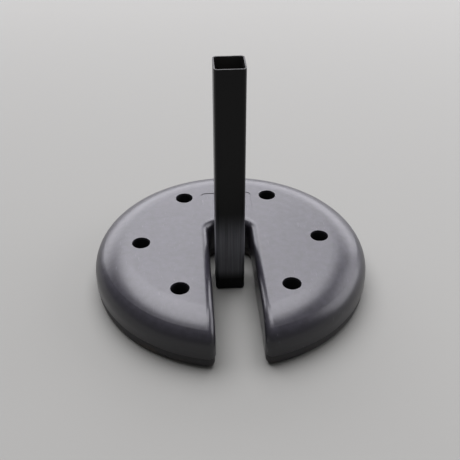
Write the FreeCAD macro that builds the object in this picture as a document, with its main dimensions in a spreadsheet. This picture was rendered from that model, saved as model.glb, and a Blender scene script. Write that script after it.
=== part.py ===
import FreeCAD, Part
import math
import os
import Sketcher
from FreeCAD import Vector

# Slotted leg weight: a round, cement-filled plastic disc with a slot that slides around the
# square leg of a pop-up canopy.  Origin: centre of the disc on the ground plane.
# +Z is up, the slot opens towards -Y, all sizes are millimetres.

doc = FreeCAD.newDocument("leg_weight")
sheet = doc.addObject("Spreadsheet::Sheet", "Sizes")

SIZES = [
    # disc
    ("plate_radius", 152.4), ("plate_height", 52.0), ("seam_height", 14.0),
    ("flat_radius", 114.0), ("crown_radius", 50.0), ("shoulder_radius", 24.0),
    # slot
    ("slot_half_width", 24.5), ("slot_end", 37.0), ("slot_corner_radius", 14.0),
    ("slot_rim_radius", 8.0), ("slot_overrun", 20.0), ("seam_edge_radius", 0.8),
    # shell walls and gaps
    ("wall", 3.0), ("tray_inset", 1.2), ("spigot_inset", 3.3), ("tray_inner_inset", 5.3),
    ("spigot_height", 6.0), ("tray_edge_radius", 6.0), ("fill_gap", 0.5), ("post_inset", 1.0),
    # how far a joining or cutting solid runs into or past its neighbour
    ("overlap", 1.0),
    # stake holes
    ("stake_radius", 10.0), ("stake_circle", 100.0), ("stake_rim_radius", 0.5),
    ("sleeve_wall", 1.5), ("socket_gap", 0.15), ("socket_wall", 2.4), ("socket_depth", 5.0),
    # screws that hold the tray to the shell
    ("boss_circle", 131.0), ("boss_radius", 5.0), ("screw_radius", 1.9),
    ("screw_length", 24.0), ("screw_head_radius", 4.0), ("screw_head_height", 2.4),
    ("screw_recess_radius", 5.0), ("screw_seat", 4.5), ("screw_cross_depth", 1.4),
    ("screw_cross_length", 4.4), ("screw_cross_width", 1.0), ("screw_gap", 0.2),
    ("pilot_gap", 0.05), ("seat_radius", 8.0), ("post_seat", 8.0),
    # filling hole
    ("plug_offset", 86.0), ("plug_boss_radius", 22.0), ("plug_boss_height", 11.0),
    ("plug_flange_radius", 17.0), ("plug_flange_height", 3.0), ("plug_neck_radius", 12.5),
    ("plug_recess_radius", 17.6), ("plug_floor", 1.0), ("gasket_height", 1.0),
    ("coin_slot_length", 18.0), ("coin_slot_width", 3.0), ("coin_slot_depth", 2.0),
    ("plug_neck_top", 10.0), ("plug_gap", 0.1), ("gasket_rim_gap", 0.4), ("gasket_neck_gap", 0.3),
    # blank label recess
    ("label_offset", 76.0), ("label_width", 60.0), ("label_length", 38.0),
    ("label_corner", 6.0), ("label_recess", 0.5),
    # leg
    ("leg_width", 31.75), ("leg_wall", 1.3), ("leg_corner_radius", 4.0),
    ("leg_offset", -8.0), ("leg_side", -2.0), ("leg_length", 268.0), ("foot_height", 15.0),
    ("foot_edge_radius", 1.6), ("insert_width", 27.4), ("insert_height", 24.0),
    ("insert_wall", 2.6), ("insert_corner", 2.0), ("rib_width", 3.0), ("rib_corner", 0.5),
    ("rib_gap", 0.06), ("rivet_gap", 0.05), ("rivet_tail_radius", 3.2),
    ("rivet_radius", 2.0), ("rivet_head_radius", 4.0), ("rivet_head_height", 1.4),
    ("rivet_height", 28.0),
]

for row, (alias, value) in enumerate(SIZES, start=1):
    sheet.set(f"A{row}", alias)
    sheet.set(f"B{row}", str(value))
    sheet.setAlias(f"B{row}", alias)
doc.recompute()

# Angles from straight behind the slot (+Y), in degrees, positive towards +X.
STAKE_HOLES = {
    "rear_left": -30.0, "rear_right": 30.0,
    "mid_left": -90.0, "mid_right": 90.0,
    "front_left": -144.3, "front_right": 144.3,
}
SCREW_ANGLES = (0.0, 60.0, 117.0, 161.0, -161.0, -117.0, -60.0)

# First shape of a rounded rectangle; its constraints then set the real sizes.
START_HALF_X, START_HALF_Y, START_CORNER = 20.0, 12.0, 3.0


def value(expression):
    """Number that an expression of the sizes stands for."""
    return float(sheet.evalExpression(expression))


def on_circle(radius, angle):
    """Expressions of the point at an angle measured from straight behind the slot."""
    return (f"{radius} * sin({angle} deg)", f"{radius} * cos({angle} deg)")


def origin_plane(body, role):
    return next(f for f in body.Origin.OriginFeatures if f.Role == role)


def new_body(name):
    body = doc.addObject("PartDesign::Body", name)
    body.Label = name
    return body


def new_sketch(body, name, role, height=None):
    """Sketch on an origin plane of its body, lifted along the plane's normal."""
    sketch = body.newObject("Sketcher::SketchObject", name)
    sketch.AttachmentSupport = [(origin_plane(body, role), "")]
    sketch.MapMode = "FlatFace"
    if height is not None:
        sketch.setExpression("AttachmentOffset.Base.z", height)
    return sketch


def dimension(sketch, kind, *args, bind):
    """Add a dimensional constraint and bind it to an expression."""
    index = sketch.addConstraint(Sketcher.Constraint(kind, *args))
    sketch.setExpression(f"Constraints[{index}]", bind)


def same_point(sketch, first, first_end, second, second_end):
    sketch.addConstraint(Sketcher.Constraint("Coincident", first, first_end, second, second_end))


def arc(cx, cy, radius, start, end):
    circle = Part.Circle(Vector(cx, cy, 0), Vector(0, 0, 1), radius)
    return Part.ArcOfCircle(circle, math.radians(start), math.radians(end))


def line(x0, y0, x1, y1):
    return Part.LineSegment(Vector(x0, y0, 0), Vector(x1, y1, 0))


def pad(body, sketch, name, length):
    feature = body.newObject("PartDesign::Pad", name)
    feature.Profile = sketch
    feature.setExpression("Length", length)
    return feature


def move(item, x, y, z):
    """Bind the place of an object to three expressions."""
    for axis, place in zip("xyz", (x, y, z)):
        item.setExpression(f"Placement.Base.{axis}", place)
    return item


def cylinder(name, radius, bottom, height, x="0", y="0"):
    """Upright Part::Cylinder; every argument after its name is an expression."""
    item = doc.addObject("Part::Cylinder", name)
    item.setExpression("Radius", radius)
    item.setExpression("Height", height)
    return move(item, x, y, bottom)


def box(name, length, width, height, x, y, z):
    """Part::Box centred on x and y, standing on z; all expressions."""
    item = doc.addObject("Part::Box", name)
    item.setExpression("Length", length)
    item.setExpression("Width", width)
    item.setExpression("Height", height)
    return move(item, f"{x} - ({length}) / 2", f"{y} - ({width}) / 2", z)


def boolean(kind, name, *args):
    """Part::Cut of two objects, or Part::MultiFuse / Part::MultiCommon of a list."""
    item = doc.addObject(kind, name)
    if kind == "Part::Cut":
        item.Base, item.Tool = args
    else:
        item.Shapes = list(args[0])
    return item


def polar_cylinders(name, radius, bottom, height, circle, angles):
    """One compound of upright cylinders around the disc."""
    items = []
    for number, angle in enumerate(angles, start=1):
        x, y = on_circle(circle, angle)
        items.append(cylinder(f"{name}_{number}", radius, bottom, height, x, y))
    return boolean("Part::MultiFuse", name, items)


# ---------------------------------------------------------------- slotted disc blanks


def dome_profile(body, inset, bottom):
    """Half section of the domed disc: floor, side, shoulder arc, crown arc, flat top."""
    sketch = new_sketch(body, f"{body.Label}_section", "XZ_Plane")
    radius = value(f"Sizes.plate_radius - ({inset})")
    flat = value("Sizes.flat_radius")
    top = value(f"Sizes.plate_height - ({inset})")
    crown = value(f"Sizes.crown_radius - ({inset})")
    shoulder = value(f"Sizes.shoulder_radius - ({inset})")
    low_z = value(bottom)
    turn = math.degrees(math.asin((radius - shoulder - flat) / (crown - shoulder)))
    shoulder_z = top - crown + (crown - shoulder) * math.cos(math.radians(turn))
    points = [(0, low_z), (radius, low_z), (radius, shoulder_z)]
    floor = sketch.addGeometry(line(*points[0], *points[1]), False)
    side = sketch.addGeometry(line(*points[1], *points[2]), False)
    low = sketch.addGeometry(arc(radius - shoulder, shoulder_z, shoulder, 0, 90 - turn), False)
    high = sketch.addGeometry(arc(flat, top - crown, crown, 90 - turn, 90), False)
    flat_top = sketch.addGeometry(line(flat, top, 0, top), False)
    axis = sketch.addGeometry(line(0, top, 0, low_z), False)
    same_point(sketch, floor, 2, side, 1)
    sketch.addConstraint(Sketcher.Constraint("Tangent", side, 2, low, 1))
    sketch.addConstraint(Sketcher.Constraint("Tangent", low, 2, high, 1))
    sketch.addConstraint(Sketcher.Constraint("Tangent", high, 2, flat_top, 1))
    same_point(sketch, flat_top, 2, axis, 1)
    same_point(sketch, axis, 2, floor, 1)
    sketch.addConstraint(Sketcher.Constraint("Horizontal", floor))
    sketch.addConstraint(Sketcher.Constraint("Vertical", side))
    sketch.addConstraint(Sketcher.Constraint("Horizontal", flat_top))
    sketch.addConstraint(Sketcher.Constraint("PointOnObject", axis, 1, -2))
    sketch.addConstraint(Sketcher.Constraint("PointOnObject", axis, 2, -2))
    dimension(sketch, "Radius", low, shoulder, bind=f"Sizes.shoulder_radius - ({inset})")
    dimension(sketch, "Radius", high, crown, bind=f"Sizes.crown_radius - ({inset})")
    dimension(sketch, "DistanceX", -1, 1, side, 1, radius, bind=f"Sizes.plate_radius - ({inset})")
    dimension(sketch, "DistanceX", -1, 1, high, 2, flat, bind="Sizes.flat_radius")
    dimension(sketch, "DistanceY", -1, 1, flat_top, 1, top, bind=f"Sizes.plate_height - ({inset})")
    dimension(sketch, "DistanceY", -1, 1, floor, 2, low_z, bind=bottom)
    return sketch


def round_section(body, inset, bottom):
    """Circle for a straight-sided disc."""
    sketch = new_sketch(body, f"{body.Label}_section", "XY_Plane", bottom)
    radius = f"Sizes.plate_radius - ({inset})"
    ring = Part.Circle(Vector(0, 0, 0), Vector(0, 0, 1), value(radius))
    circle = sketch.addGeometry(ring, False)
    same_point(sketch, circle, 3, -1, 1)
    dimension(sketch, "Radius", circle, value(radius), bind=radius)
    return sketch


def slot_outline(body, inset):
    """Slot seen from above: two walls, a rear wall and two rounded rear corners."""
    sketch = new_sketch(body, f"{body.Label}_slot", "XY_Plane")
    half = value(f"Sizes.slot_half_width + ({inset})")
    end = value(f"Sizes.slot_end + ({inset})")
    corner = value(f"Sizes.slot_corner_radius + ({inset})")
    mouth = -value("Sizes.plate_radius + Sizes.slot_overrun")
    front = sketch.addGeometry(line(-half, mouth, half, mouth), False)
    right = sketch.addGeometry(line(half, mouth, half, end - corner), False)
    rear_right = sketch.addGeometry(arc(half - corner, end - corner, corner, 0, 90), False)
    rear = sketch.addGeometry(line(half - corner, end, corner - half, end), False)
    rear_left = sketch.addGeometry(arc(corner - half, end - corner, corner, 90, 180), False)
    left = sketch.addGeometry(line(-half, end - corner, -half, mouth), False)
    same_point(sketch, front, 2, right, 1)
    sketch.addConstraint(Sketcher.Constraint("Tangent", right, 2, rear_right, 1))
    sketch.addConstraint(Sketcher.Constraint("Tangent", rear_right, 2, rear, 1))
    sketch.addConstraint(Sketcher.Constraint("Tangent", rear, 2, rear_left, 1))
    sketch.addConstraint(Sketcher.Constraint("Tangent", rear_left, 2, left, 1))
    same_point(sketch, left, 2, front, 1)
    sketch.addConstraint(Sketcher.Constraint("Vertical", right))
    sketch.addConstraint(Sketcher.Constraint("Horizontal", rear))
    sketch.addConstraint(Sketcher.Constraint("Vertical", left))
    sketch.addConstraint(Sketcher.Constraint("Symmetric", front, 1, front, 2, -2))
    sketch.addConstraint(Sketcher.Constraint("Equal", rear_right, rear_left))
    dimension(sketch, "Radius", rear_right, corner, bind=f"Sizes.slot_corner_radius + ({inset})")
    dimension(sketch, "DistanceX", -1, 1, front, 2, half,
              bind=f"Sizes.slot_half_width + ({inset})")
    dimension(sketch, "DistanceY", -1, 1, rear, 1, end, bind=f"Sizes.slot_end + ({inset})")
    dimension(sketch, "DistanceY", front, 1, -1, 1, -mouth,
              bind="Sizes.plate_radius + Sizes.slot_overrun")
    return sketch


def edge_names(shape, wanted):
    return [f"Edge{i}" for i, edge in enumerate(shape.Edges, start=1) if wanted(edge)]


def ends(edge):
    return edge.Vertexes[0].Point, edge.Vertexes[-1].Point


def is_upright(edge):
    start, end = ends(edge)
    return math.hypot(start.x - end.x, start.y - end.y) < 0.01 and abs(start.z - end.z) > 1.0


def is_lobe_corner(edge):
    """Upright edge where the slot breaks through the round side."""
    return is_upright(edge) and edge.Vertexes[0].Point.y < -100.0


def round_edges(body, name, wanted, radius):
    """PartDesign::Fillet on the edges of the body's present shape that are wanted."""
    doc.recompute()
    base = body.Tip
    names = edge_names(base.Shape, wanted)
    if not names:
        raise RuntimeError(f"{name}: no edge found")
    feature = body.newObject("PartDesign::Fillet", name)
    feature.Base = (base, names)
    feature.setExpression("Radius", radius)
    doc.recompute()
    return feature


def slotted_disc(name, inset, bottom, top=None):
    """Blank of the disc, shrunk by inset all round and domed unless it has a flat top.

    inset, bottom and top are expressions.
    """
    body = new_body(name)
    if top is None:
        turned = body.newObject("PartDesign::Revolution", f"{name}_turned")
        turned.Profile = dome_profile(body, inset, bottom)
        turned.ReferenceAxis = (turned.Profile[0], ["V_Axis"])
        turned.Angle = 360.0
    else:
        pad(body, round_section(body, inset, bottom), f"{name}_disc", f"({top}) - ({bottom})")
    doc.recompute()
    whole = body.Shape.Volume
    slot = body.newObject("PartDesign::Pocket", f"{name}_slot_cut")
    slot.Profile = slot_outline(body, inset)
    slot.Type = "ThroughAll"
    slot.Midplane = True
    doc.recompute()
    if body.Shape.Volume > 0.95 * whole:
        raise RuntimeError(f"{name}: the slot is not cut")
    if top is not None:
        round_edges(body, f"{name}_lobe_corners", is_lobe_corner,
                    f"Sizes.slot_rim_radius - ({inset})")
        return body

    def is_rear_rim(edge):
        """Upper edge of the slot's rear wall: the fillet follows the whole smooth rim from it."""
        start, end = ends(edge)
        rear = value(f"Sizes.slot_end + ({inset})")
        ceiling = value(f"Sizes.plate_height - ({inset})")
        return all(abs(p.y - rear) < 0.01 and abs(p.z - ceiling) < 0.01 for p in (start, end))

    round_edges(body, f"{name}_slot_rim", is_rear_rim, f"Sizes.slot_rim_radius - ({inset})")
    return body


def circles(body, name, centres, radius):
    """Sketch of equal circles; centres and the common radius are expressions."""
    sketch = new_sketch(body, name, "XY_Plane")
    first = None
    for x, y in centres:
        ring = Part.Circle(Vector(value(x), value(y), 0), Vector(0, 0, 1), value(radius))
        hole = sketch.addGeometry(ring, False)
        dimension(sketch, "DistanceX", -1, 1, hole, 3, value(x), bind=x)
        dimension(sketch, "DistanceY", -1, 1, hole, 3, value(y), bind=y)
        if first is None:
            first = hole
            dimension(sketch, "Radius", hole, value(radius), bind=radius)
        else:
            sketch.addConstraint(Sketcher.Constraint("Equal", first, hole))
    return sketch


def rounded_rectangle(body, name, height, extents, corner, centre="0"):
    """Rounded rectangle; height, half sizes, corner radius and centre y are expressions."""
    sketch = new_sketch(body, name, "XY_Plane", height)
    a, b, r = START_HALF_X, START_HALF_Y, START_CORNER
    bottom = sketch.addGeometry(line(r - a, -b, a - r, -b), False)
    low_right = sketch.addGeometry(arc(a - r, r - b, r, 270, 360), False)
    right = sketch.addGeometry(line(a, r - b, a, b - r), False)
    top_right = sketch.addGeometry(arc(a - r, b - r, r, 0, 90), False)
    top = sketch.addGeometry(line(a - r, b, r - a, b), False)
    top_left = sketch.addGeometry(arc(r - a, b - r, r, 90, 180), False)
    left = sketch.addGeometry(line(-a, b - r, -a, r - b), False)
    low_left = sketch.addGeometry(arc(r - a, r - b, r, 180, 270), False)
    ring = (bottom, low_right, right, top_right, top, top_left, left, low_left)
    for here, after in zip(ring, ring[1:] + ring[:1]):
        sketch.addConstraint(Sketcher.Constraint("Tangent", here, 2, after, 1))
    for side in (bottom, top):
        sketch.addConstraint(Sketcher.Constraint("Horizontal", side))
    for side in (right, left):
        sketch.addConstraint(Sketcher.Constraint("Vertical", side))
    sketch.addConstraint(Sketcher.Constraint("Equal", low_right, top_right))
    sketch.addConstraint(Sketcher.Constraint("Equal", top_right, top_left))
    sketch.addConstraint(Sketcher.Constraint("Equal", top_left, low_left))
    dimension(sketch, "Radius", low_right, r, bind=corner)
    half_x, half_y = extents
    dimension(sketch, "DistanceX", -1, 1, right, 1, a, bind=half_x)
    dimension(sketch, "DistanceX", left, 1, -1, 1, a, bind=half_x)
    dimension(sketch, "DistanceY", -1, 1, top, 1, b, bind=f"{centre} + {half_y}")
    dimension(sketch, "DistanceY", bottom, 1, top, 1, 2 * b, bind=f"2 * ({half_y})")
    return sketch


def pocket(body, sketch, name, length=None, upward=False):
    """Pocket that must remove material, either through everything or to a length."""
    doc.recompute()
    before = body.Shape.Volume
    feature = body.newObject("PartDesign::Pocket", name)
    feature.Profile = sketch
    if length is None:
        feature.Type = "ThroughAll"
        feature.Midplane = True
    else:
        feature.setExpression("Length", length)
        feature.Reversed = upward
    doc.recompute()
    if body.Shape.Volume > before - 0.1:
        raise RuntimeError(f"{name}: nothing was cut")
    return feature


def named(item, label):
    item.Label = label
    return item


# ---------------------------------------------------------------- weight plate


def build_upper_shell():
    """Domed cover: skin, sleeve sockets under the top, and posts for the tray screws."""
    solid = slotted_disc("shell_solid", "0", "Sizes.seam_height")

    def is_seam(edge):
        return all(abs(p.z - value("Sizes.seam_height")) < 0.01 for p in ends(edge))

    round_edges(solid, "shell_seam_edge", is_seam, "Sizes.seam_edge_radius")
    centres = [on_circle("Sizes.stake_circle", angle) for angle in STAKE_HOLES.values()]
    pocket(solid, circles(solid, "stake_circles", centres, "Sizes.stake_radius"), "stake_cut")

    def is_hole_rim(edge):
        middle = edge.valueAt((edge.FirstParameter + edge.LastParameter) / 2)
        near = min(math.hypot(middle.x - value(x), middle.y - value(y)) for x, y in centres)
        above = middle.z > value("Sizes.plate_height") - 0.01
        return above and near < value("Sizes.stake_radius") + 0.01

    round_edges(solid, "stake_rims", is_hole_rim, "Sizes.stake_rim_radius")
    half = ("Sizes.label_width / 2", "Sizes.label_length / 2")
    label = rounded_rectangle(solid, "label_outline", "Sizes.plate_height", half,
                              "Sizes.label_corner", "Sizes.label_offset")
    pocket(solid, label, "label_cut", "Sizes.label_recess")

    cavity = slotted_disc("shell_cavity", "Sizes.wall", "Sizes.seam_height - Sizes.overlap")
    skin = boolean("Part::Cut", "shell_skin", solid, cavity)
    under = "Sizes.plate_height - Sizes.wall"
    socket = "Sizes.stake_radius + Sizes.sleeve_wall + Sizes.socket_gap"
    circle, angles = "Sizes.stake_circle", STAKE_HOLES.values()
    sockets = polar_cylinders("shell_sockets", f"{socket} + Sizes.socket_wall",
                              f"{under} - Sizes.socket_depth",
                              "Sizes.socket_depth + Sizes.overlap", circle, angles)
    posts = polar_cylinders("shell_posts", "Sizes.boss_radius", "Sizes.post_seat",
                            "Sizes.plate_height - Sizes.post_seat",
                            "Sizes.boss_circle", SCREW_ANGLES)
    limit = slotted_disc("post_limit", "Sizes.post_inset", "Sizes.wall")
    trimmed = boolean("Part::MultiCommon", "shell_posts_trimmed", [posts, limit])
    body = boolean("Part::MultiFuse", "shell_with_posts", [skin, sockets, trimmed])
    bores = polar_cylinders("socket_bores", socket,
                            f"{under} - Sizes.socket_depth - Sizes.overlap",
                            "Sizes.socket_depth + Sizes.overlap", circle, angles)
    throats = polar_cylinders("socket_throats", "Sizes.stake_radius",
                              f"{under} - Sizes.overlap", "2 * Sizes.overlap", circle, angles)
    pilots = polar_cylinders("pilot_holes", "Sizes.screw_radius + Sizes.pilot_gap",
                             "Sizes.post_seat - Sizes.overlap",
                             "Sizes.screw_length + Sizes.overlap",
                             "Sizes.boss_circle", SCREW_ANGLES)
    cutters = boolean("Part::MultiFuse", "shell_cutters", [bores, throats, pilots])
    return named(boolean("Part::Cut", "upper_shell_cut", body, cutters), "upper_shell")


def build_base_tray():
    """Bottom of the casing: floor, wall, spigot inside the cover, sockets and screw seats."""
    seam = "Sizes.seam_height"
    lower = slotted_disc("tray_solid", "Sizes.tray_inset", "0", seam)

    def is_bottom(edge):
        return all(abs(p.z) < 0.01 for p in ends(edge))

    round_edges(lower, "tray_bottom_edge", is_bottom, "Sizes.tray_edge_radius")
    top = f"{seam} + Sizes.spigot_height"
    spigot = slotted_disc("tray_spigot", "Sizes.spigot_inset", "Sizes.wall", top)
    cavity = slotted_disc("tray_cavity", "Sizes.tray_inner_inset", "Sizes.wall",
                          f"{top} + Sizes.overlap")
    outside = boolean("Part::MultiFuse", "tray_outside", [lower, spigot])
    cup = boolean("Part::Cut", "tray_cup", outside, cavity)
    socket = "Sizes.stake_radius + Sizes.sleeve_wall + Sizes.socket_gap"
    circle, angles, offset = "Sizes.stake_circle", STAKE_HOLES.values(), "Sizes.plug_offset"
    sockets = polar_cylinders("tray_sockets", f"{socket} + Sizes.socket_wall",
                              "Sizes.wall - Sizes.overlap",
                              "Sizes.socket_depth + Sizes.overlap", circle, angles)
    seats = polar_cylinders("tray_seats", "Sizes.seat_radius", "Sizes.overlap",
                            "Sizes.post_seat - Sizes.overlap",
                            "Sizes.boss_circle", SCREW_ANGLES)
    plug_boss = cylinder("tray_plug_boss", "Sizes.plug_boss_radius", "Sizes.overlap",
                         "Sizes.plug_boss_height - Sizes.overlap", y=offset)
    body = boolean("Part::MultiFuse", "tray_with_bosses", [cup, sockets, seats, plug_boss])
    plug_depth = "Sizes.plug_floor + Sizes.plug_flange_height + Sizes.gasket_height"
    cutters = [
        polar_cylinders("tray_holes", "Sizes.stake_radius", "-Sizes.overlap",
                        "Sizes.wall + 2 * Sizes.overlap", circle, angles),
        polar_cylinders("tray_socket_bores", socket, "Sizes.wall",
                        "Sizes.socket_depth + Sizes.overlap", circle, angles),
        polar_cylinders("tray_recesses", "Sizes.screw_recess_radius", "-Sizes.overlap",
                        "Sizes.screw_seat + Sizes.overlap", "Sizes.boss_circle", SCREW_ANGLES),
        polar_cylinders("tray_screw_holes", "Sizes.screw_radius + Sizes.screw_gap", "0",
                        "Sizes.post_seat + Sizes.overlap", "Sizes.boss_circle", SCREW_ANGLES),
        cylinder("tray_plug_recess", "Sizes.plug_recess_radius", "-Sizes.overlap",
                 f"{plug_depth} + Sizes.overlap", y=offset),
        cylinder("tray_plug_hole", "Sizes.plug_neck_radius + Sizes.plug_gap", "0",
                 "Sizes.plug_boss_height + Sizes.overlap", y=offset),
    ]
    all_cutters = boolean("Part::MultiFuse", "tray_cutters", cutters)
    return named(boolean("Part::Cut", "base_tray_cut", body, all_cutters), "base_tray")


def build_ballast():
    """Cement cast in the casing, clear of the sleeves, screw posts and filling hole."""
    step = "Sizes.seam_height + Sizes.spigot_height + Sizes.fill_gap"
    lower = slotted_disc("fill_lower", "Sizes.tray_inner_inset + Sizes.fill_gap",
                         "Sizes.wall", step)
    upper = slotted_disc("fill_upper", "Sizes.wall + Sizes.fill_gap", step)
    block = boolean("Part::MultiFuse", "fill_block", [lower, upper])
    sleeve = "Sizes.stake_radius + Sizes.sleeve_wall + Sizes.fill_gap"
    socket = f"{sleeve} + Sizes.socket_gap + Sizes.socket_wall"
    circle, angles = "Sizes.stake_circle", STAKE_HOLES.values()
    under = "Sizes.plate_height - Sizes.wall - Sizes.socket_depth - Sizes.fill_gap"
    cutters = [
        polar_cylinders("fill_sleeve_holes", sleeve, "0", "Sizes.plate_height", circle, angles),
        polar_cylinders("fill_low_sockets", socket, "0",
                        "Sizes.wall + Sizes.socket_depth + Sizes.fill_gap", circle, angles),
        polar_cylinders("fill_high_sockets", socket, under, "Sizes.plate_height",
                        circle, angles),
        polar_cylinders("fill_seats", "Sizes.seat_radius + Sizes.fill_gap", "0",
                        "Sizes.post_seat + Sizes.fill_gap", "Sizes.boss_circle", SCREW_ANGLES),
        polar_cylinders("fill_posts", "Sizes.boss_radius + Sizes.fill_gap", "0",
                        "Sizes.plate_height", "Sizes.boss_circle", SCREW_ANGLES),
        cylinder("fill_plug_boss", "Sizes.plug_boss_radius + Sizes.fill_gap", "0",
                 "Sizes.plug_boss_height + Sizes.fill_gap", y="Sizes.plug_offset"),
    ]
    all_cutters = boolean("Part::MultiFuse", "fill_cutters", cutters)
    return named(boolean("Part::Cut", "ballast_fill_cut", block, all_cutters), "ballast_fill")


def build_sleeve(place, angle):
    """Tube that lines one stake hole, held in the sockets of the cover and the tray."""
    x, y = on_circle("Sizes.stake_circle", angle)
    length = "Sizes.plate_height - 2 * Sizes.wall"
    outside = cylinder(f"{place}_outside", "Sizes.stake_radius + Sizes.sleeve_wall",
                       "Sizes.wall", length, x, y)
    inside = cylinder(f"{place}_inside", "Sizes.stake_radius", "Sizes.wall", length, x, y)
    return named(boolean("Part::Cut", f"{place}_cut", outside, inside), f"stake_sleeve_{place}")


def build_screws():
    """Seven pan-head screws driven up through the tray into the posts of the cover."""
    circle = "Sizes.boss_circle"
    under_head = "Sizes.screw_seat - Sizes.screw_head_height"
    heads = polar_cylinders("screw_heads", "Sizes.screw_head_radius", under_head,
                            "Sizes.screw_head_height", circle, SCREW_ANGLES)
    shanks = polar_cylinders("screw_shanks", "Sizes.screw_radius",
                             "Sizes.screw_seat - Sizes.overlap",
                             "Sizes.screw_length + Sizes.overlap", circle, SCREW_ANGLES)
    joined = boolean("Part::MultiFuse", "screws_joined", [heads, shanks])
    long, short = "Sizes.screw_cross_length", "Sizes.screw_cross_width"
    slots = []
    for number, angle in enumerate(SCREW_ANGLES, start=1):
        x, y = on_circle(circle, angle)
        for turn, (length, width) in enumerate(((long, short), (short, long))):
            slots.append(box(f"screw_cross_{number}_{turn}", length, width,
                             "Sizes.screw_cross_depth + Sizes.overlap",
                             x, y, f"{under_head} - Sizes.overlap"))
    crosses = boolean("Part::MultiFuse", "screw_crosses", slots)
    return named(boolean("Part::Cut", "base_screws_cut", joined, crosses), "base_screws")


def build_fill_plug():
    """Push-in plug of the filling hole, with a coin slot in its flange."""
    y = "Sizes.plug_offset"
    flange = cylinder("plug_flange", "Sizes.plug_flange_radius", "Sizes.plug_floor",
                      "Sizes.plug_flange_height", y=y)
    neck = cylinder("plug_neck", "Sizes.plug_neck_radius", "Sizes.plug_floor + Sizes.overlap",
                    "Sizes.plug_neck_top - Sizes.plug_floor - Sizes.overlap", y=y)
    solid = boolean("Part::MultiFuse", "plug_solid", [flange, neck])
    coin = box("plug_coin_slot", "Sizes.coin_slot_length", "Sizes.coin_slot_width",
               "Sizes.plug_floor + Sizes.coin_slot_depth", "0", y, "0")
    return named(boolean("Part::Cut", "fill_plug_cut", solid, coin), "fill_plug")


def build_plug_gasket():
    """Flat ring pressed between the plug's flange and the tray."""
    y = "Sizes.plug_offset"
    seat = "Sizes.plug_floor + Sizes.plug_flange_height"
    ring = cylinder("gasket_ring", "Sizes.plug_flange_radius - Sizes.gasket_rim_gap", seat,
                    "Sizes.gasket_height", y=y)
    hole = cylinder("gasket_hole", "Sizes.plug_neck_radius + Sizes.gasket_neck_gap", seat,
                    "Sizes.gasket_height", y=y)
    return named(boolean("Part::Cut", "plug_gasket_cut", ring, hole), "plug_gasket")


# ---------------------------------------------------------------- leg


def leg_body(name):
    """Body built around the leg's own axis and then moved to its place in the slot."""
    body = new_body(name)
    body.setExpression("Placement.Base.x", "Sizes.leg_side")
    body.setExpression("Placement.Base.y", "Sizes.leg_offset")
    return body


def rivet_hole(body, name):
    """Hole from the leg's axis out through its rear wall."""
    sketch = new_sketch(body, f"{name}_circle", "XZ_Plane")
    radius, height = "Sizes.rivet_radius + Sizes.rivet_gap", "Sizes.rivet_height"
    ring = Part.Circle(Vector(0, value(height), 0), Vector(0, 0, 1), value(radius))
    circle = sketch.addGeometry(ring, False)
    dimension(sketch, "Radius", circle, value(radius), bind=radius)
    sketch.addConstraint(Sketcher.Constraint("PointOnObject", circle, 3, -2))
    dimension(sketch, "DistanceY", -1, 1, circle, 3, value(height), bind=height)
    return pocket(body, sketch, name, "Sizes.leg_width")


def build_leg_tube():
    """Lower end of the square steel leg, standing on its foot cap, open at the top."""
    body = leg_body("leg_tube")
    outer = "Sizes.leg_width / 2"
    outline = rounded_rectangle(body, "leg_outline", "Sizes.foot_height", (outer, outer),
                                "Sizes.leg_corner_radius")
    pad(body, outline, "leg_pad", "Sizes.leg_length - Sizes.foot_height")
    inner = "Sizes.leg_width / 2 - Sizes.leg_wall"
    bore = rounded_rectangle(body, "leg_bore_outline", "0", (inner, inner),
                             "Sizes.leg_corner_radius - Sizes.leg_wall")
    pocket(body, bore, "leg_bore")
    rivet_hole(body, "leg_rivet_hole")
    return body


def build_leg_foot_cap():
    """Plastic foot: block of the leg's width with a ribbed insert pushed up into the tube."""
    body = leg_body("leg_foot_cap")
    block = "Sizes.leg_width / 2"
    outline = rounded_rectangle(body, "foot_outline", "0", (block, block),
                                "Sizes.leg_corner_radius")
    pad(body, outline, "foot_block", "Sizes.foot_height")

    def is_foot_bottom(edge):
        return all(abs(p.z) < 0.01 for p in ends(edge))

    round_edges(body, "foot_bottom_edge", is_foot_bottom, "Sizes.foot_edge_radius")
    plug = "Sizes.insert_width / 2"
    reach = "Sizes.leg_width / 2 - Sizes.leg_wall - Sizes.rib_gap"
    rib = "Sizes.rib_width / 2"
    pieces = (
        ("insert", (plug, plug), "Sizes.insert_corner"),
        ("rib_across", (reach, rib), "Sizes.rib_corner"),
        ("rib_along", (rib, reach), "Sizes.rib_corner"),
    )
    for name, extents, corner in pieces:
        outline = rounded_rectangle(body, f"{name}_outline", "Sizes.foot_height", extents, corner)
        pad(body, outline, f"{name}_pad", "Sizes.insert_height")
    inner = "Sizes.insert_width / 2 - Sizes.insert_wall"
    hollow = rounded_rectangle(body, "hollow_outline", "Sizes.foot_height + Sizes.insert_height",
                               (inner, inner), "Sizes.insert_corner / 2")
    pocket(body, hollow, "hollow", "Sizes.insert_height + Sizes.foot_height / 2")
    rivet_hole(body, "foot_rivet_hole")
    return body


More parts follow.
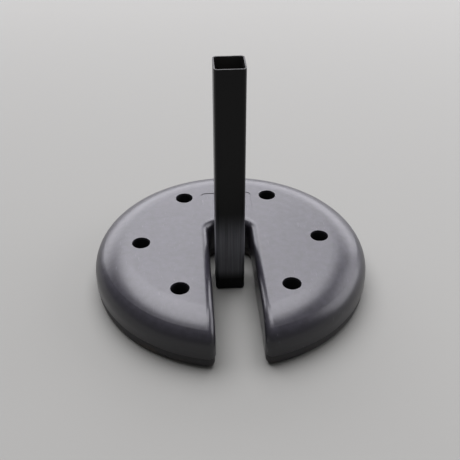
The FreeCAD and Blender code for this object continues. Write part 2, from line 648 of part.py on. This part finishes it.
def build_foot_rivet():
    """Blind rivet through the rear wall of the leg and the insert of its foot."""
    outside = "Sizes.leg_offset + Sizes.leg_width / 2"
    inside = "Sizes.leg_offset + Sizes.insert_width / 2 - Sizes.insert_wall"
    head = "Sizes.rivet_head_height"
    under = f"{inside} - {head}"
    pieces = (
        ("rivet_head", "Sizes.rivet_head_radius", outside, head),
        ("rivet_shank", "Sizes.rivet_radius", under, f"{outside} + {head} - ({under})"),
        ("rivet_tail", "Sizes.rivet_tail_radius", under, head),
    )
    items = []
    for name, radius, start, length in pieces:
        item = cylinder(name, radius, "Sizes.rivet_height", length, "Sizes.leg_side", start)
        item.Placement.Rotation = FreeCAD.Rotation(Vector(1, 0, 0), -90)
        items.append(item)
    return named(boolean("Part::MultiFuse", "foot_rivet_fused", items), "foot_rivet")


# ---------------------------------------------------------------- assembly

nodes = [build_upper_shell(), build_base_tray(), build_ballast(), build_screws(),
         build_fill_plug(), build_plug_gasket()]
nodes += [build_sleeve(place, angle) for place, angle in STAKE_HOLES.items()]
nodes += [build_leg_tube(), build_leg_foot_cap(), build_foot_rivet()]
doc.recompute()

for item in doc.Objects:
    if "Invalid" in item.State or "Error" in item.State:
        raise RuntimeError(f"{item.Label} failed: {item.State}")
for item in nodes:
    if item.Shape.isNull() or not item.Shape.isValid():
        raise RuntimeError(f"{item.Label} has no valid shape")

os.makedirs("parts", exist_ok=True)
for item in nodes:
    item.Shape.exportStep(f"parts/{item.Label}.step")
    print(f"{item.Label}: {len(item.Shape.Solids)} solid(s), {item.Shape.Volume / 1000:.1f} cm3")
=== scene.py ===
import math
import bpy
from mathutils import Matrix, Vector


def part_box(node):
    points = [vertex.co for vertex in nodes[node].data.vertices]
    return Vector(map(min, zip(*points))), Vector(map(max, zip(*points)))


# Slotted leg weight with the lower end of its square leg.
# Metres, +Z up, the slot opens towards -Y, origin at the centre of the plate on the ground.

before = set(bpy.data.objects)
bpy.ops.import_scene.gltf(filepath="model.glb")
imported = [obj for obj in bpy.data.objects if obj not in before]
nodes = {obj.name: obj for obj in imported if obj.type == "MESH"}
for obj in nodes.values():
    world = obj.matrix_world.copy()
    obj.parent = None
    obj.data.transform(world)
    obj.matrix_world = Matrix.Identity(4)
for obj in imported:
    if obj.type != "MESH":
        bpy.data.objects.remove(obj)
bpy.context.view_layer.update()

STAKE_SLEEVES = [name for name in nodes if name.startswith("stake_sleeve_")]
LEG_LOW, LEG_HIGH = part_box("leg_tube")
LEG_AXIS = (LEG_LOW + LEG_HIGH) / 2
LEG_WIDTH = LEG_HIGH.x - LEG_LOW.x
SLOT_WALL = 0.0245  # half the slot's width
SLOT_REAR = 0.037  # the slot's closed end
STAKE_HOLE_RADIUS = 0.010


def centre_of(node):
    """Middle of a node's box."""
    low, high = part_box(node)
    return (low + high) / 2


# ---------------------------------------------------------------- node helpers


class Shader:
    """One material under construction: adds nodes, links them and feeds its Principled shader."""

    def __init__(self, name, color, roughness, metallic=0.0):
        self.material = bpy.data.materials.new(name)
        self.material.use_nodes = True
        self.tree = self.material.node_tree
        self.shader = self.tree.nodes["Principled BSDF"]
        self.shader.inputs["Base Color"].default_value = (*color, 1.0)
        self.shader.inputs["Roughness"].default_value = roughness
        self.shader.inputs["Metallic"].default_value = metallic
        self.place = self.tree.nodes.new("ShaderNodeTexCoord").outputs["Object"]
        self.bump_out = None

    def node(self, kind, **settings):
        made = self.tree.nodes.new(kind)
        for key, value in settings.items():
            setattr(made, key, value)
        return made

    def join(self, source, target):
        """Links an output to an input, or sets the input when the source is a number or a tuple."""
        if isinstance(source, (int, float, tuple)):
            target.default_value = source
        else:
            self.tree.links.new(source, target)

    def math(self, operation, first, second=0.0):
        made = self.node("ShaderNodeMath", operation=operation)
        for value, target in zip((first, second), made.inputs):
            self.join(value, target)
        return made.outputs[0]

    def times(self, first, second):
        return self.math("MULTIPLY", first, second)

    def plus(self, first, second):
        return self.math("ADD", first, second)

    def minus(self, first, second):
        return self.math("SUBTRACT", first, second)

    def distance(self, first, second):
        """How far apart two values are."""
        return self.math("ABSOLUTE", self.minus(first, second))

    def span(self, value, low, high, start=0.0, end=1.0):
        """Maps low..high to start..end and clamps it."""
        made = self.node("ShaderNodeMapRange", clamp=True)
        for source, target in zip((value, low, high, start, end), made.inputs):
            self.join(source, target)
        return made.outputs[0]

    def soft_span(self, value, low, high):
        """Smooth step from 0 at low to 1 at high."""
        made = self.node("ShaderNodeMapRange", clamp=True, interpolation_type="SMOOTHSTEP")
        for source, target in zip((value, low, high, 0.0, 1.0), made.inputs):
            self.join(source, target)
        return made.outputs[0]

    def stretched(self, scale):
        """Object position with its own scale per axis."""
        made = self.node("ShaderNodeMapping")
        made.inputs["Scale"].default_value = scale
        self.join(self.place, made.inputs["Vector"])
        return made.outputs[0]

    def noise(self, scale, detail=2.0, roughness=0.5, place=None, distortion=0.0):
        """Noise from 0 to 1; scale is in waves per metre, or 1 with a stretched place."""
        made = self.node("ShaderNodeTexNoise")
        self.join(self.place if place is None else place, made.inputs["Vector"])
        made.inputs["Scale"].default_value = scale
        made.inputs["Detail"].default_value = detail
        made.inputs["Roughness"].default_value = roughness
        made.inputs["Distortion"].default_value = distortion
        return made.outputs[0]

    def cells(self, scale):
        """Distance to the nearest of many scattered points."""
        made = self.node("ShaderNodeTexVoronoi", feature="F1")
        self.join(self.place, made.inputs["Vector"])
        made.inputs["Scale"].default_value = scale
        return made.outputs["Distance"]

    def axes(self):
        """Object position as x, y and z."""
        made = self.node("ShaderNodeSeparateXYZ")
        self.join(self.place, made.inputs[0])
        return made.outputs

    def upward(self):
        """Surface normal's Z: 1 on top faces, 0 on sides, -1 below."""
        made = self.node("ShaderNodeSeparateXYZ")
        self.join(self.node("ShaderNodeNewGeometry").outputs["Normal"], made.inputs[0])
        return made.outputs[2]

    def blend(self, amount, first, second):
        """Colour mix; first and second are colours or outputs."""
        made = self.node("ShaderNodeMix", data_type="RGBA")
        self.join(amount, made.inputs["Factor"])
        for value, target in ((first, made.inputs[6]), (second, made.inputs[7])):
            self.join((*value, 1.0) if isinstance(value, tuple) else value, target)
        return made.outputs[2]

    def bump(self, height, depth, strength=1.0):
        """Adds one layer of bump; depth is its height in metres."""
        made = self.node("ShaderNodeBump")
        made.inputs["Strength"].default_value = strength
        made.inputs["Distance"].default_value = depth
        self.join(height, made.inputs["Height"])
        if self.bump_out is not None:
            self.join(self.bump_out, made.inputs["Normal"])
        self.bump_out = made.outputs[0]
        self.join(self.bump_out, self.shader.inputs["Normal"])

    def color(self, source):
        self.join(source, self.shader.inputs["Base Color"])

    def roughness(self, source):
        self.join(source, self.shader.inputs["Roughness"])

    def set(self, **inputs):
        """Sets the shader's own sockets; an underscore stands for a space in the socket's name."""
        for name, value in inputs.items():
            self.shader.inputs[name.replace("_", " ")].default_value = value


def fine_scratches(paint, scale, turn, amount):
    """Mask of thin straight scratches that run one way across the surface."""
    made = paint.node("ShaderNodeMapping")
    made.inputs["Rotation"].default_value = (0.3, 0.2, turn)
    made.inputs["Scale"].default_value = (scale, scale * 0.10, scale * 0.15)
    paint.join(paint.place, made.inputs["Vector"])
    lines = paint.soft_span(paint.noise(1.0, 1.0, 0.4, made.outputs[0]), 0.70, 0.78)
    patches = paint.soft_span(paint.noise(22.0, 1.0), 0.45, 0.65)
    return paint.times(paint.times(lines, patches), amount)


# ---------------------------------------------------------------- materials

SHELL_COLOR = (0.0085, 0.0078, 0.0110)
TRAY_COLOR = (0.013, 0.0125, 0.014)
DUST_COLOR = (0.190, 0.178, 0.235)
SCUFF_COLOR = (0.24, 0.24, 0.26)
SOIL_COLOR = (0.085, 0.062, 0.042)
LEG_COLOR = (0.004, 0.004, 0.0042)
# Lighter colour of the band painted on the leg as a highlight, with scuff streaks in it.
LEG_HIGHLIGHT_AND_SCUFF_COLOR = (0.22, 0.223, 0.245)
PRIMER_COLOR = (0.035, 0.034, 0.033)
CEMENT_COLOR = (0.36, 0.355, 0.34)
CEMENT_DARK = (0.24, 0.235, 0.225)
CEMENT_LIGHT = (0.52, 0.51, 0.48)
RUBBER_COLOR = (0.02, 0.02, 0.02)
ZINC_COLOR = (0.55, 0.55, 0.53)
ALUMINIUM_COLOR = (0.7, 0.7, 0.71)
SMALL_PART_COLOR = (0.018, 0.018, 0.02)
FOOT_COLOR = (0.0025, 0.0025, 0.0025)
SLEEVE_COLOR = (0.004, 0.004, 0.004)

# How much of each kind of wear the cover shows, from 0 to 1, and how strong the leg's painted
# highlight band with its scuff streaks is.
DUST_AMOUNT = 0.12
SCRATCH_AMOUNT = 0.25
STAKE_RIM_AMOUNT = 0.10
SLOT_RUB_AMOUNT = 0.30
SOIL_AMOUNT = 0.5
TRAY_SOIL_AMOUNT = 0.55
LEG_HIGHLIGHT_AND_SCUFF_AMOUNT = 0.75

# Heights above the ground between which each mask fades, in metres.
SHELL_SOIL_FADE = (0.020, 0.002)
TRAY_SOIL_FADE = (0.014, 0.0)
SLOT_RUB_FADE = (0.014, 0.034)
# The leg's lighter band, a painted highlight with scuff streaks in it, fades in and out between
# these heights.
LEG_HIGHLIGHT_BAND_LOW_FADE = (0.014, 0.030)
LEG_HIGHLIGHT_BAND_HIGH_FADE = (0.062, 0.105)

LEG_PAINT_DEPTH = (0.0009, 0.0011)  # deeper than this, the tube shows its primer


def shell_material():
    """Satin black moulded polyethylene: mould grain, faint flow marks, dust, scuffs and soil."""
    paint = Shader("shell_satin_black", SHELL_COLOR, 0.42)
    flow = paint.noise(9.0, 3.0, 0.5, paint.stretched((1.0, 1.0, 2.0)), 0.4)
    mottle = paint.noise(140.0, 5.0, 0.65)
    scratches = paint.plus(fine_scratches(paint, 900.0, 0.5, 1.0),
                           fine_scratches(paint, 700.0, 1.9, 0.7))
    dust = paint.times(paint.soft_span(paint.upward(), 0.3, 0.95),
                       paint.span(mottle, 0.35, 0.75, 0.25, 1.0))
    soil = paint.times(paint.soft_span(paint.axes()[2], *SHELL_SOIL_FADE),
                       paint.span(mottle, 0.4, 0.7))

    shade = SHELL_COLOR
    for mask, amount, color in ((dust, DUST_AMOUNT, DUST_COLOR),
                                (scratches, SCRATCH_AMOUNT, SCUFF_COLOR),
                                (stake_rim_wear(paint), STAKE_RIM_AMOUNT, SCUFF_COLOR),
                                (slot_rub(paint), SLOT_RUB_AMOUNT, SCUFF_COLOR),
                                (soil, SOIL_AMOUNT, SOIL_COLOR)):
        shade = paint.blend(paint.times(mask, amount), shade, color)
    paint.color(shade)

    rough = paint.span(flow, 0.3, 0.7, 0.29, 0.33)
    rough = paint.plus(rough, paint.times(scratches, 0.15))
    rough = paint.plus(rough, paint.times(soil, 0.3))
    paint.roughness(rough)

    paint.bump(flow, 0.0004, 0.25)
    paint.bump(paint.noise(420.0, 3.0, 0.6), 0.00006, 0.6)
    paint.bump(paint.noise(2200.0, 2.0, 0.5), 0.00002, 0.6)
    paint.set(Specular_IOR_Level=0.6)
    return paint.material


def stake_rim_wear(paint):
    """Ring of wear round every stake hole, from stakes pushed in and pulled out."""
    total = None
    x, y, _ = paint.axes()
    for name in STAKE_SLEEVES:
        middle = centre_of(name)
        away = paint.math("SQRT", paint.plus(
            paint.math("POWER", paint.minus(x, middle.x), 2.0),
            paint.math("POWER", paint.minus(y, middle.y), 2.0)))
        ring = paint.minus(1.0, paint.soft_span(
            away, STAKE_HOLE_RADIUS + 0.0003, STAKE_HOLE_RADIUS + 0.0020))
        total = ring if total is None else paint.math("MAXIMUM", total, ring)
    return total


def slot_rub(paint):
    """Streaks along the walls of the slot, where legs have been slid in and out."""
    x, y, z = paint.axes()
    near_wall = paint.minus(1.0, paint.soft_span(
        paint.math("ABSOLUTE", x), SLOT_WALL + 0.0004, SLOT_WALL + 0.0045))
    in_slot = paint.soft_span(y, SLOT_REAR + 0.006, SLOT_REAR - 0.004)
    streaks = paint.noise(1.0, 3.0, 0.6, paint.stretched((500.0, 14.0, 800.0)))
    patches = paint.noise(55.0, 2.0, 0.5)
    worn = paint.times(paint.soft_span(streaks, 0.55, 0.72),
                       paint.soft_span(patches, 0.40, 0.62))
    high = paint.soft_span(z, *SLOT_RUB_FADE)
    return paint.times(paint.times(worn, high), paint.times(near_wall, in_slot))


def tray_material():
    """Same plastic as the cover, duller, with dried soil on its lower edge and underside."""
    paint = Shader("tray_black", TRAY_COLOR, 0.55)
    patches = paint.noise(28.0, 5.0, 0.65)
    soil = paint.times(paint.soft_span(paint.axes()[2], *TRAY_SOIL_FADE),
                       paint.soft_span(patches, 0.42, 0.68))
    paint.color(paint.blend(paint.times(soil, TRAY_SOIL_AMOUNT), TRAY_COLOR, SOIL_COLOR))
    paint.roughness(paint.span(patches, 0.3, 0.7, 0.5, 0.75))
    paint.bump(paint.noise(380.0, 3.0, 0.6), 0.00008, 0.6)
    paint.bump(patches, 0.0004, 0.25)
    return paint.material


def plain_plastic(name, color, roughness, gloss=0.5):
    """Black plastic of the small parts, with a fine grain and faint handling marks."""
    paint = Shader(name, color, roughness)
    paint.set(Specular_IOR_Level=gloss)
    marks = paint.noise(90.0, 4.0, 0.6)
    paint.color(paint.blend(paint.span(marks, 0.5, 0.85, 0.0, 0.08), color, DUST_COLOR))
    paint.roughness(paint.span(marks, 0.3, 0.7, roughness - 0.06, roughness + 0.1))
    paint.bump(paint.noise(900.0, 3.0, 0.6), 0.00004, 0.6)
    return paint.material


def leg_material():
    """Black powder coat with a lighter band painted where the plate meets it, a painted highlight
    with scuff streaks in it, and dark primer inside the tube.
    """
    paint = Shader("leg_powder_coat", LEG_COLOR, 0.34)
    x, y, z = paint.axes()
    peel = paint.noise(700.0, 2.0, 0.5)
    streaks = paint.noise(1.0, 3.0, 0.6, paint.stretched((900.0, 900.0, 9.0)))
    # Painted highlight: a lighter band low on the leg, streaked like scuffs.
    highlight_band = paint.times(paint.soft_span(z, *LEG_HIGHLIGHT_BAND_LOW_FADE),
                             paint.minus(1.0, paint.soft_span(z, *LEG_HIGHLIGHT_BAND_HIGH_FADE)))
    highlight_and_scuff = paint.times(highlight_band, paint.span(streaks, 0.35, 0.75, 0.45, 1.0))
    off_axis = paint.math("MAXIMUM", paint.distance(x, LEG_AXIS.x), paint.distance(y, LEG_AXIS.y))
    inside = paint.soft_span(paint.minus(LEG_WIDTH / 2, off_axis), *LEG_PAINT_DEPTH)
    shade = paint.blend(paint.times(highlight_and_scuff, LEG_HIGHLIGHT_AND_SCUFF_AMOUNT), LEG_COLOR, LEG_HIGHLIGHT_AND_SCUFF_COLOR)
    paint.color(paint.blend(inside, shade, PRIMER_COLOR))
    paint.roughness(paint.plus(paint.span(streaks, 0.3, 0.7, 0.30, 0.40),
                               paint.times(highlight_and_scuff, 0.12)))
    paint.bump(peel, 0.00005, 0.5)
    paint.bump(streaks, 0.00002, 0.5)
    paint.set(Specular_IOR_Level=0.2)
    return paint.material


def cement_material():
    """Grey cast cement with pores and sand grains."""
    paint = Shader("cement", CEMENT_COLOR, 0.9)
    sand = paint.cells(900.0)
    clouds = paint.noise(35.0, 5.0, 0.6)
    shade = paint.blend(paint.span(clouds, 0.3, 0.7), CEMENT_COLOR, CEMENT_DARK)
    paint.color(paint.blend(paint.span(sand, 0.0, 0.6, 0.35, 0.0), shade, CEMENT_LIGHT))
    paint.bump(sand, 0.0002, 0.6)
    paint.bump(clouds, 0.0008, 0.5)
    return paint.material


def metal_material(name, color, roughness):
    """Plain metal with fine turning marks and dull patches."""
    paint = Shader(name, color, roughness, metallic=1.0)
    patches = paint.noise(150.0, 4.0, 0.6)
    dull = tuple(part * 0.6 for part in color)
    paint.color(paint.blend(paint.span(patches, 0.4, 0.75), color, dull))
    paint.roughness(paint.span(patches, 0.3, 0.7, roughness, roughness + 0.2))
    paint.bump(paint.noise(1800.0, 2.0, 0.5), 0.00002, 0.6)
    return paint.material


def rubber_material():
    """Soft black rubber of the gasket."""
    paint = Shader("gasket_rubber", RUBBER_COLOR, 0.7)
    paint.bump(paint.noise(1500.0, 2.0, 0.5), 0.00003, 0.6)
    return paint.material


def dress(node, material):
    """Gives a CAD node its material through the object's own slot."""
    item = nodes[node]
    if not item.material_slots:
        item.data.materials.append(None)
    for slot in item.material_slots:
        slot.link = "OBJECT"
        slot.material = material


def dress_everything():
    dress("upper_shell", shell_material())
    dress("base_tray", tray_material())
    dress("ballast_fill", cement_material())
    dress("base_screws", metal_material("zinc_screw", ZINC_COLOR, 0.35))
    dress("fill_plug", plain_plastic("small_black_plastic", SMALL_PART_COLOR, 0.5))
    dress("plug_gasket", rubber_material())
    dress("leg_tube", leg_material())
    dress("leg_foot_cap", plain_plastic("foot_black_plastic", FOOT_COLOR, 0.62, gloss=0.15))
    dress("foot_rivet", metal_material("rivet_aluminium", ALUMINIUM_COLOR, 0.3))
    sleeve = plain_plastic("sleeve_black_plastic", SLEEVE_COLOR, 0.6)
    for name in STAKE_SLEEVES:
        dress(name, sleeve)


# ---------------------------------------------------------------- floor, light and camera

FLOOR_SIZE = 60.0
FLOOR_DROP = 0.0002  # keeps the floor clear of the faces that stand on it
FLOOR_COLOR = (0.213, 0.213, 0.198)
LIGHT_COLOR = (0.955, 0.943, 1.0)
LIGHT_TARGET = (0.0, 0.0, 0.03)
WORLD_COLOR = (0.86, 0.86, 0.88)
WORLD_STRENGTH = 0.26
CAMERA_YAW = math.radians(3.96)
CAMERA_PITCH = math.radians(36.0)
CAMERA_DISTANCE = 0.9546
CAMERA_TARGET = Vector((0.0029, 0.0531, 0.026))
CAMERA_LENS = 62.6


def build_floor():
    """Plain pale floor under the part."""
    mesh = bpy.data.meshes.new("floor")
    half = FLOOR_SIZE / 2
    corners = [(-half, -half, 0), (half, -half, 0), (half, half, 0), (-half, half, 0)]
    mesh.from_pydata(corners, [], [(0, 1, 2, 3)])
    floor = bpy.data.objects.new("floor", mesh)
    floor.location.z = -FLOOR_DROP
    bpy.context.scene.collection.objects.link(floor)
    paint = Shader("floor_pale", FLOOR_COLOR, 0.9)
    mesh.materials.append(paint.material)


def softbox(name, position, width, height, power):
    """Soft area light that shines on the plate and that the camera doesn't see."""
    lamp = bpy.data.lights.new(name, "AREA")
    lamp.shape = "RECTANGLE"
    lamp.size, lamp.size_y = width, height
    lamp.energy = power
    lamp.color = LIGHT_COLOR
    item = bpy.data.objects.new(name, lamp)
    item.location = position
    item.rotation_mode = "QUATERNION"
    aim = Vector(LIGHT_TARGET) - Vector(position)
    item.rotation_quaternion = aim.to_track_quat("-Z", "Y")
    item.visible_camera = False
    bpy.context.scene.collection.objects.link(item)


def overhead(name, toward, strength, spread):
    """Very soft distant light that lights the whole floor evenly; spread is in degrees."""
    lamp = bpy.data.lights.new(name, "SUN")
    lamp.energy = strength
    lamp.color = LIGHT_COLOR
    lamp.angle = math.radians(spread)
    item = bpy.data.objects.new(name, lamp)
    item.rotation_mode = "QUATERNION"
    item.rotation_quaternion = (-Vector(toward)).to_track_quat("-Z", "Y")
    bpy.context.scene.collection.objects.link(item)


def build_light():
    world = bpy.data.worlds.new("studio")
    world.use_nodes = True
    background = world.node_tree.nodes["Background"]
    background.inputs["Color"].default_value = (*WORLD_COLOR, 1.0)
    background.inputs["Strength"].default_value = WORLD_STRENGTH
    bpy.context.scene.world = world
    softbox("rear_softbox", position=(0.0, 1.9, 0.70), width=4.4, height=0.9, power=50.0)
    softbox("side_softbox", position=(2.2, 0.45, 0.95), width=2.0, height=1.5, power=30.0)
    overhead("overhead_light", toward=(-0.07, 0.38, 0.92), strength=5.4, spread=62.0)


def build_camera():
    """Looks down at the plate from in front of the slot, a little to its left."""
    data = bpy.data.cameras.new("camera")
    data.sensor_width = 36.0
    data.lens = CAMERA_LENS
    camera = bpy.data.objects.new("camera", data)
    back = Vector((-math.sin(CAMERA_YAW) * math.cos(CAMERA_PITCH),
                   -math.cos(CAMERA_YAW) * math.cos(CAMERA_PITCH),
                   math.sin(CAMERA_PITCH)))
    camera.location = CAMERA_TARGET + back * CAMERA_DISTANCE
    camera.rotation_mode = "QUATERNION"
    camera.rotation_quaternion = (-back).to_track_quat("-Z", "Y")
    bpy.context.scene.collection.objects.link(camera)
    bpy.context.scene.camera = camera


dress_everything()
build_floor()
build_light()
build_camera()
bpy.context.scene.view_settings.view_transform = "Standard"
bpy.context.view_layer.update()
